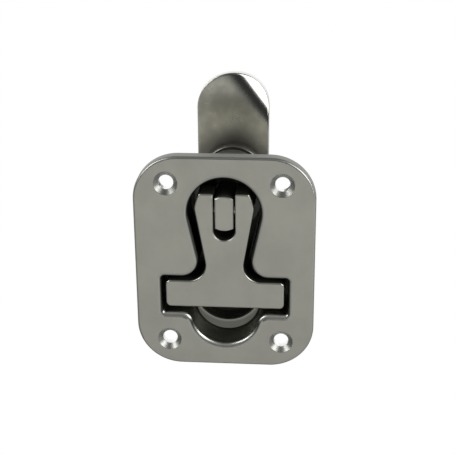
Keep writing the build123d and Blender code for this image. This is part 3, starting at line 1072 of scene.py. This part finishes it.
@dataclass
class HousingUnit:
    """Faceplate, pan and barrel in one casting, with the ring and pin in the barrel's end."""

    frame: Frame
    screw_spacing: Pair = (38.1 * MM, 56.5 * MM)
    hole_radius: float = 2.5 * MM
    head_radius: float = 4.0 * MM
    lip: float = 0.18 * MM
    lip_rows: int = 5
    skin: float = 0.03 * MM
    columns: int = 72

    def build(self) -> None:
        """Dresses the casting and what is fixed in it, and makes the countersinks' skins."""
        self.frame.dress(Casting("satin_casting"), "housing")
        polished = Polished("polished_countersink").build()
        half_x, half_z = self.screw_spacing[0] / 2, self.screw_spacing[1] / 2
        holes = [(x, z) for x in (-half_x, half_x) for z in (-half_z, half_z)]
        for number, hole in enumerate(holes, 1):
            skin = self.countersink(hole, polished, f"countersink_{number}")
            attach(skin, Body.HOUSING.value)
        ring = Metal("turned_ring", grain=(0.2, 1.0, 0.2), roughness=0.22)
        self.frame.dress(ring, "barrel_gland")
        self.frame.dress(Metal("ground_pin", roughness=0.18), "stop_pin")
        washer = Metal("thrust_washer", (0.16, 0.16, 0.15), (0.12, 0.12, 0.11), 0.35)
        self.frame.dress(washer, "thrust_washer")

    def countersink(self, centre: Pair, steel: bpy.types.Material, name: str) -> bpy.types.Object:
        """Polished skin of one countersink.

        A profile turned about the hole's axis: a rounded lip on the face, the cone, and a rounded
        edge down into the bore. It lies a hair proud of the casting.

        Args:
            centre: where the hole's axis is, as (x, z).
            steel: the skin's finish.
            name: the piece's name.

        Returns:
            The new object.
        """
        face = self.frame.low("housing").y
        wide, bore = self.head_radius + self.skin, self.hole_radius - self.skin
        turn = np.linspace(0.0, 2 * math.pi, self.columns, endpoint=False)
        soft = np.linspace(0.0, math.pi / 4, self.lip_rows)
        start = self.lip * math.tan(math.pi / 8)
        lip_r = wide + start - self.lip * np.sin(soft)
        lip_y = face - self.skin / 2 + self.lip * (1 - np.cos(soft))
        toe_r = bore + self.lip * (1 - np.cos(math.pi / 4 - soft))
        toe_y = face + (wide - bore) + start - self.lip * np.sin(math.pi / 4 - soft)
        radii = np.concatenate([lip_r, toe_r, [bore]])
        along = np.concatenate([lip_y, toe_y, [-self.skin]])
        points = turned(centre, radii[:, None] * np.ones(self.columns), along, turn)
        return Surface(name, points, capped=False).build(steel, smooth_angle=50.0)


@dataclass
class HandleUnit:
    """T-handle and the pin it swings on."""

    frame: Frame
    slot_foot: Pair = (12.15 * MM, 4.0 * MM)

    def build(self) -> None:
        """Dresses the handle and its pin."""
        satin = SatinHandle("satin_handle", buffed=0.29, slot_foot=self.slot_foot)
        self.frame.dress(satin, "t_handle")
        self.frame.dress(Metal("pivot_pin", roughness=0.2), "pivot_pin")


@dataclass
class SpindleUnit:
    """Spindle: the head with its tang, and the shaft with its thread and flats."""

    frame: Frame
    thread: Thread = Thread(5 * MM)
    columns: int = 120
    thread_rows_per_pitch: int = 14
    flat_depth: float = 1.0 * MM
    lead_in: float = 0.8 * MM
    spigot_radius: float = 3.0 * MM
    spigot_bevel: float = 0.3 * MM
    groove_depth: float = 0.4 * MM
    groove_play: float = 0.02 * MM
    step_play: float = 0.05 * MM

    def build(self) -> None:
        """Dresses the head and makes the threaded shaft."""
        # painted highlight: the tang's edge colour is raised so its rounded edges read bright
        tang = SatinHandle(
            "tang_painted_highlight", edge_colour=(0.75, 0.75, 0.70), buffed=0.36, edge_depth=-2.0 * MM
        )
        self.frame.dress(tang, "spindle_head")
        shaft = self.shaft(Metal("threaded_steel", roughness=0.24, uneven=0.04).build())
        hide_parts("spindle_shaft")
        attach(shaft, Body.CAM.value)

    def shaft(self, steel: bpy.types.Material) -> bpy.types.Object:
        """Threaded shaft as one closed surface.

        Each row is a ring about the spindle: a spigot, a plain journal with its circlip groove,
        and then a thread cut off by two flats, with a bevelled end.

        Args:
            steel: the piece's finish.

        Returns:
            The new object.
        """
        low, high = self.frame.low("spindle_shaft"), self.frame.high("spindle_shaft")
        centre = self.frame.middle("spindle_shaft")
        radius, spigot = self.thread.radius, self.spigot_radius
        shoulder = self.frame.high("spindle_head").y + self.step_play
        groove = self.frame.low("spring_circlip").y
        groove_end = self.frame.high("spring_circlip").y + self.groove_play
        flats_start = self.frame.high("barrel_gland").y + self.step_play
        plain = [
            (low.y, spigot - self.spigot_bevel),
            (low.y + self.spigot_bevel, spigot),
            (shoulder, spigot),
            (shoulder, radius),
            (groove, radius),
            (groove, radius - self.groove_depth),
            (groove_end, radius - self.groove_depth),
            (groove_end, radius),
            (flats_start, radius),
        ]
        steps = self.thread_rows_per_pitch / self.thread.pitch
        threaded = np.linspace(flats_start, high.y, int((high.y - flats_start) * steps))
        turn = np.linspace(1.0, 0.0, self.columns, endpoint=False)
        run_out = np.clip((threaded - flats_start) / self.thread.pitch, 0.0, 1.0)[:, None]
        cut = self.thread.radii(turn[None, :], threaded[:, None])
        cut = radius - (radius - cut) * run_out
        bevel = radius - np.clip(threaded - (high.y - self.lead_in), 0.0, None)
        cut = np.minimum(cut, bevel[:, None])
        angle = 2 * math.pi * turn
        flat = (radius - self.flat_depth) / np.maximum(np.abs(np.cos(angle)), TINY)
        cut = np.minimum(cut, flat[None, :])
        rings = np.array([[row[1]] for row in plain]) * np.ones((1, self.columns))
        along = np.array([row[0] for row in plain] + threaded.tolist())
        points = turned((centre.x, centre.z), np.vstack([rings, cut]), along, angle)
        return Surface("threaded_shaft", points).build(steel, smooth_angle=35.0)


@dataclass
class ReturnUnit:
    """Seal, bushes, spring and its stops inside the barrel."""

    frame: Frame

    def build(self) -> None:
        """Dresses the pieces in the barrel."""
        rubber = Moulded("seal_rubber", (0.025, 0.025, 0.027), 0.6)
        acetal = Moulded("bush_acetal", (0.78, 0.76, 0.70), 0.42)
        wire = Metal("spring_wire", (0.42, 0.42, 0.41), (0.34, 0.34, 0.33), 0.3)
        self.frame.dress(rubber, "spindle_o_ring")
        self.frame.dress(acetal, "front_bush", "rear_bush")
        self.frame.dress(wire, "return_spring", "spring_circlip")
        self.frame.dress(Metal("spring_seat", roughness=0.25), "spring_seat")


@dataclass(frozen=True)
class Bend:
    """A bend across a plate that leans back beyond a slanted line.

    Where the distance past the bend's start is d, the plate's side of radius r lies back by
    r - sqrt(r*r - d*d) up to d = r sin(angle), and from there on by d's further growth times
    tan(angle).
    """

    distance: float
    heading: float
    angle: float
    radius: float

    def setback(self, across: np.ndarray, up: np.ndarray, inwards: float) -> np.ndarray:
        """How far back a side lies at places seen from the front.

        Args:
            across: places to the right of the spindle.
            up: places above the spindle.
            inwards: how much nearer than the front this side is to the bend's middle.

        Returns:
            The setback at each place.
        """
        heading, angle = math.radians(self.heading), math.radians(self.angle)
        run = self.radius * math.tan(angle / 2)
        past = across * math.sin(heading) + up * math.cos(heading) - self.distance + run
        radius = self.radius - inwards
        end = radius * math.sin(angle)
        on_arc = np.clip(past, 0.0, end)
        arc = radius - np.sqrt(radius**2 - on_arc**2)
        return arc + np.clip(past - end, 0.0, None) * math.tan(angle)


@dataclass
class CamUnit:
    """Cam and the washers and nuts that hold it on the shaft."""

    frame: Frame
    bend: Bend = Bend(22.2 * MM, 53.0, 27.0, 15 * MM)
    edge: float = 0.45 * MM
    bore: float = 5.1 * MM
    bore_flat: float = 4.1 * MM
    front_rows: int = 64
    back_rows: int = 20
    edge_rows: int = 5
    spacing: float = 0.4 * MM

    def build(self) -> None:
        """Makes the cam and dresses its fixings."""
        cam = self.cam(PolishedSheet("polished_sheet", heading=self.bend.heading).build())
        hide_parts("cam")
        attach(cam, Body.CAM.value)
        self._dress_fixings()

    def _dress_fixings(self) -> None:
        """Dresses the washers, the nuts and the lock nut's insert."""
        # painted shade: the washers' faces are painted dark; their edges keep a steel colour
        bright = Satin(
            "washer_painted_shade",
            colour=(0.24, 0.24, 0.225),
            shade=(0.20, 0.20, 0.19),
            edge_colour=(0.50, 0.50, 0.47),
            satin=0.35,
            buffed=0.30,
        )
        nut = Metal("bright_nut", (0.54, 0.54, 0.52), (0.48, 0.48, 0.46), 0.22)
        spring = Metal("spring_steel", (0.40, 0.40, 0.39), (0.33, 0.33, 0.32), 0.3)
        nylon = Moulded("nylon_insert", (0.10, 0.22, 0.50), 0.4)
        self.frame.dress(bright, "front_cam_washer", "rear_cam_washer", "stop_washer")
        self.frame.dress(nut, "jam_nut", "lock_nut")
        self.frame.dress(spring, "lock_washer")
        self.frame.dress(nylon, "nylon_insert")

    def _outline(self, half: float, reach: float) -> Tuple[np.ndarray, np.ndarray]:
        """Plate's outline about the spindle, and its outward directions.

        Evenly spaced along two half circles and the two straights between them, clockwise as
        seen from the front.

        Args:
            half: half the plate's width.
            reach: how far the plate's tip is from the spindle.

        Returns:
            The outline's points and the directions, as (x, z).
        """
        straight = reach - half
        length = 2 * straight + 2 * math.pi * half
        count = round(length / self.spacing)
        along = np.linspace(0.0, length, count, endpoint=False)
        quarter = math.pi * half
        up = np.clip(along, 0.0, straight)
        over = np.clip(along - straight, 0.0, quarter) / half
        down = np.clip(along - straight - quarter, 0.0, straight)
        under = np.clip(along - 2 * straight - quarter, 0.0, quarter) / half
        turn = over + under
        outwards = np.stack([-np.cos(turn), np.sin(turn)], axis=-1)
        centre = np.stack([np.zeros(count), up - down], axis=-1)
        return centre + half * outwards, outwards

    def cam(self, steel: bpy.types.Material) -> bpy.types.Object:
        """Bent cam as one closed surface.

        Each column runs from the drive hole over the front to a rounded edge, and over the back
        to the hole again: hole * (1 - t) + outline * t, with the bend's setback added in depth.

        Args:
            steel: the piece's finish.

        Returns:
            The new object.
        """
        low, high = self.frame.low("cam"), self.frame.high("cam")
        centre = self.frame.middle("spindle_shaft")
        thickness = self.frame.low("rear_cam_washer").y - low.y
        outline, outwards = self._outline((high.x - low.x) / 2, high.z - centre.z)
        angle = np.arctan2(outline[:, 1], outline[:, 0])
        bore = np.minimum(self.bore, self.bore_flat / np.maximum(np.abs(np.cos(angle)), TINY))
        hole = bore[:, None] * np.stack([np.cos(angle), np.sin(angle)], axis=-1)
        rim = outline - outwards * self.edge
        share = np.linspace(0.0, 1.0, self.front_rows, endpoint=False)[:, None, None]
        front = hole * (1 - share) + rim * share
        round_off = np.linspace(0.0, math.pi / 2, self.edge_rows)[:, None, None]
        corner = rim + outwards * self.edge * np.sin(round_off)
        share = np.linspace(1.0, 0.0, self.back_rows)[1:, None, None]
        back = hole * (1 - share) + rim * share
        plan = np.concatenate([front, corner, corner[::-1], back])
        eased = self.edge * (1 - np.cos(round_off[:, :, 0]))
        flat_front = np.zeros((len(front), 1))
        flat_back = np.full((len(back), 1), thickness)
        depth = np.concatenate([flat_front, eased, thickness - eased[::-1], flat_back])
        across, up = plan[:, :, 0], plan[:, :, 1]
        fore, aft = (self.bend.setback(across, up, side) for side in (0.0, thickness))
        setback = np.where(depth > thickness / 2, aft, fore)
        points = np.stack([centre.x + across, low.y + depth + setback, centre.z + up], axis=-1)
        cam = Surface("bent_cam", points, close_rows=True, capped=False)
        return cam.build(steel, smooth_angle=50.0)


# ---- studio


@dataclass(frozen=True)
class Softbox:
    """A soft lamp: a glowing panel that faces the latch."""

    name: str
    azimuth: float
    elevation: float
    distance: float
    size: Pair
    radiance: float

    def build(self, aim: Vector) -> None:
        """Makes the lamp.

        Args:
            aim: the point it faces.
        """
        lamp = bpy.data.lights.new(self.name, "AREA")
        lamp.shape = "RECTANGLE"
        lamp.size, lamp.size_y = self.size
        lamp.energy = self.radiance * math.pi * self.size[0] * self.size[1]
        lit = added(self.name, lamp)
        away = direction(self.azimuth, self.elevation)
        lit.matrix_world = facing_matrix(aim + away * self.distance, -away)
        lit.visible_camera = False


def direction(azimuth: float, elevation: float) -> Vector:
    """Unit vector from the latch towards azimuth, right of the front, and elevation, in degrees."""
    a, e = math.radians(azimuth), math.radians(elevation)
    return Vector((math.sin(a) * math.cos(e), -math.cos(a) * math.cos(e), math.sin(e)))


def facing_matrix(place: Vector, forwards: Vector) -> Matrix:
    """Placement of something at a place that looks forwards, with its top upwards."""
    return Matrix.Translation(place) @ forwards.to_track_quat("-Z", "Y").to_matrix().to_4x4()


@dataclass
class Studio:
    """White surroundings as the camera sees them, and what polished steel finds in them.

    To the camera the floor and the world are plain white. Steel facing the front mirrors a pale
    sheet that lies before the latch, with a dim room round it. Behind the latch the world is
    white above a pale floor.
    """

    floor_drop: float = 0.5
    floor_size: float = 8.0
    paper: Colour = (0.8, 0.8, 0.8)
    glow: float = 1.06
    glow_share: float = 0.92
    sheet: float = 0.76
    sheet_near: Pair = (0.05, 0.30)
    sheet_far: Pair = (4.6, 2.2)
    sheet_slope: Quad = (0.80, 1.80, 0.63, 1.03)
    sheet_right: Pair = (95.0, 62.0)
    sheet_left: Pair = (-100.0, -12.0)
    room: float = 0.04
    ceiling: float = 0.22
    ceiling_edge: Pair = (0.08, 0.40)
    zenith: Quad = (0.80, 0.92, 1.0, 0.25)
    backdrop: Quad = (0.45, 0.95, 1.0, 0.4)
    backdrop_edge: Pair = (0.0, 0.35)
    backdrop_floor: float = 0.75
    backdrop_floor_edge: Pair = (0.0, 0.3)
    aim: Triple = (0.0, 0.0, 10 * MM)
    lamps: Tuple[Softbox, ...] = (
        Softbox("right_window", 56.0, 24.0, 0.60, (0.42, 0.38), 2.9),
        Softbox("left_window", -59.0, 30.0, 0.60, (0.18, 0.42), 4.0),
    )

    def build(self, lowest: float) -> None:
        """Sets up the studio.

        Args:
            lowest: height of the latch's lowest point; the floor lies below it.
        """
        self._floor(lowest - self.floor_drop)
        self._world()
        for lamp in self.lamps:
            lamp.build(Vector(self.aim))
        bpy.context.scene.view_settings.view_transform = "Standard"

    @staticmethod
    def _seen(bench: Bench, camera: Number, glossy: Number, through: Number) -> Signal:
        """Strength by what kind of ray sees it.

        Args:
            bench: where its nodes go.
            camera: strength to the camera.
            glossy: strength in reflections.
            through: strength through glass.

        Returns:
            The strength.
        """
        kinds = {"Is Camera Ray": camera, "Is Glossy Ray": glossy, "Is Transmission Ray": through}
        rays = [
            bench.node("ShaderNodeLightPath", output=kind) * strength
            for kind, strength in kinds.items()
        ]
        return rays[0] + rays[1] + rays[2]

    def _floor(self, height: float) -> None:
        """Pale floor that glows white to the camera and keeps a faint shadow.

        In reflections it is a pale sheet before the latch, whose edges are arcs round the latch
        and fade, on a dim floor that turns pale behind it.

        Args:
            height: where it lies.
        """
        half = self.floor_size / 2
        mesh = bpy.data.meshes.new("floor")
        corners = [(x * half, y * half, height) for x, y in ((-1, -1), (1, -1), (1, 1), (-1, 1))]
        mesh.from_pydata(corners, [], [(0, 1, 2, 3)])
        floor = added("floor", mesh)
        material = bpy.data.materials.new("pale_floor")
        bench = Bench(material)
        x, y, _ = bench.axes(bench.place())
        away = (x ** 2.0 + y ** 2.0) ** 0.5
        across = x.maths("ARCTAN2", y * -1.0) * (180.0 / math.pi)
        sheet = away.step(*self.sheet_near) * away.step(*self.sheet_far)
        sheet = sheet * away.spread(*self.sheet_slope)
        sheet = sheet * across.step(*self.sheet_right) * across.step(*self.sheet_left)
        front = self.room + sheet * (self.sheet - self.room)
        mirrored = front + y.step(*self.backdrop_floor_edge) * (self.backdrop_floor - front)
        strength = self._seen(bench, self.glow, mirrored, 1.0)
        paper = bench.node("ShaderNodeBsdfDiffuse", inputs={"Color": opaque(self.paper)})
        glow = bench.node("ShaderNodeEmission", inputs={"Strength": strength})
        seen = self._seen(bench, self.glow_share, 1.0, self.glow_share)
        bench.finish(bench.node("ShaderNodeMixShader", inputs={0: seen, 1: paper, 2: glow}))
        mesh.materials.append(material)
        floor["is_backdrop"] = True

    def _world(self) -> None:
        """White to the camera and behind the latch; a dim room with a pale ceiling before it."""
        world = bpy.data.worlds.new("studio")
        bpy.context.scene.world = world
        bench = Bench(world)
        _, y, z = bench.axes(bench.node("ShaderNodeTexCoord", output="Generated"))
        front = z.spread(*self.ceiling_edge, self.room, self.ceiling) * z.spread(*self.zenith)
        mirrored = front + y.step(*self.backdrop_edge) * (z.spread(*self.backdrop) - front)
        shown = self._seen(bench, 1.0, mirrored, 1.0)
        diffuse = bench.node("ShaderNodeLightPath", output="Is Diffuse Ray") * mirrored
        light = {"Color": opaque((1.0, 1.0, 1.0)), "Strength": shown + diffuse}
        bench.finish(bench.node("ShaderNodeBackground", inputs=light))


@dataclass(frozen=True)
class Viewpoint:
    """Camera: where it looks, from which side and through which lens."""

    target: Triple = (0.80 * MM, 0.0, 11.80 * MM)
    distance: float = 355 * MM
    azimuth: float = 5.0
    elevation: float = 21.926
    roll: float = 0.5
    lens: float = 84.65
    sensor: float = 36.0
    clip: Pair = (0.01, 20.0)

    def build(self) -> None:
        """Makes the camera and gives it to the scene."""
        data = bpy.data.cameras.new("camera")
        data.lens = self.lens
        data.sensor_width = self.sensor
        data.clip_start, data.clip_end = self.clip
        camera = added("camera", data)
        away = direction(self.azimuth, self.elevation)
        placed = facing_matrix(Vector(self.target) + away * self.distance, -away)
        camera.matrix_world = placed @ Matrix.Rotation(math.radians(-self.roll), 4, "Z")
        bpy.context.scene.camera = camera


# ---- assembly


def corners() -> list[list[float]]:
    """The shown object's lowest and highest corner as plain lists."""
    return [list(corner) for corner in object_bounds()]


def main() -> None:
    """Builds the latch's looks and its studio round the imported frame."""
    logging.basicConfig(level=logging.INFO, format="%(name)s: %(message)s")
    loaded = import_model()
    cad_box = corners()
    frame = Frame(loaded["nodes"])
    HousingUnit(frame).build()
    HandleUnit(frame).build()
    SpindleUnit(frame).build()
    ReturnUnit(frame).build()
    CamUnit(frame).build()
    Studio().build(cad_box[0][2])
    Viewpoint().build()
    LOG.info("scene ready")


if __name__ == "__main__":
    main()
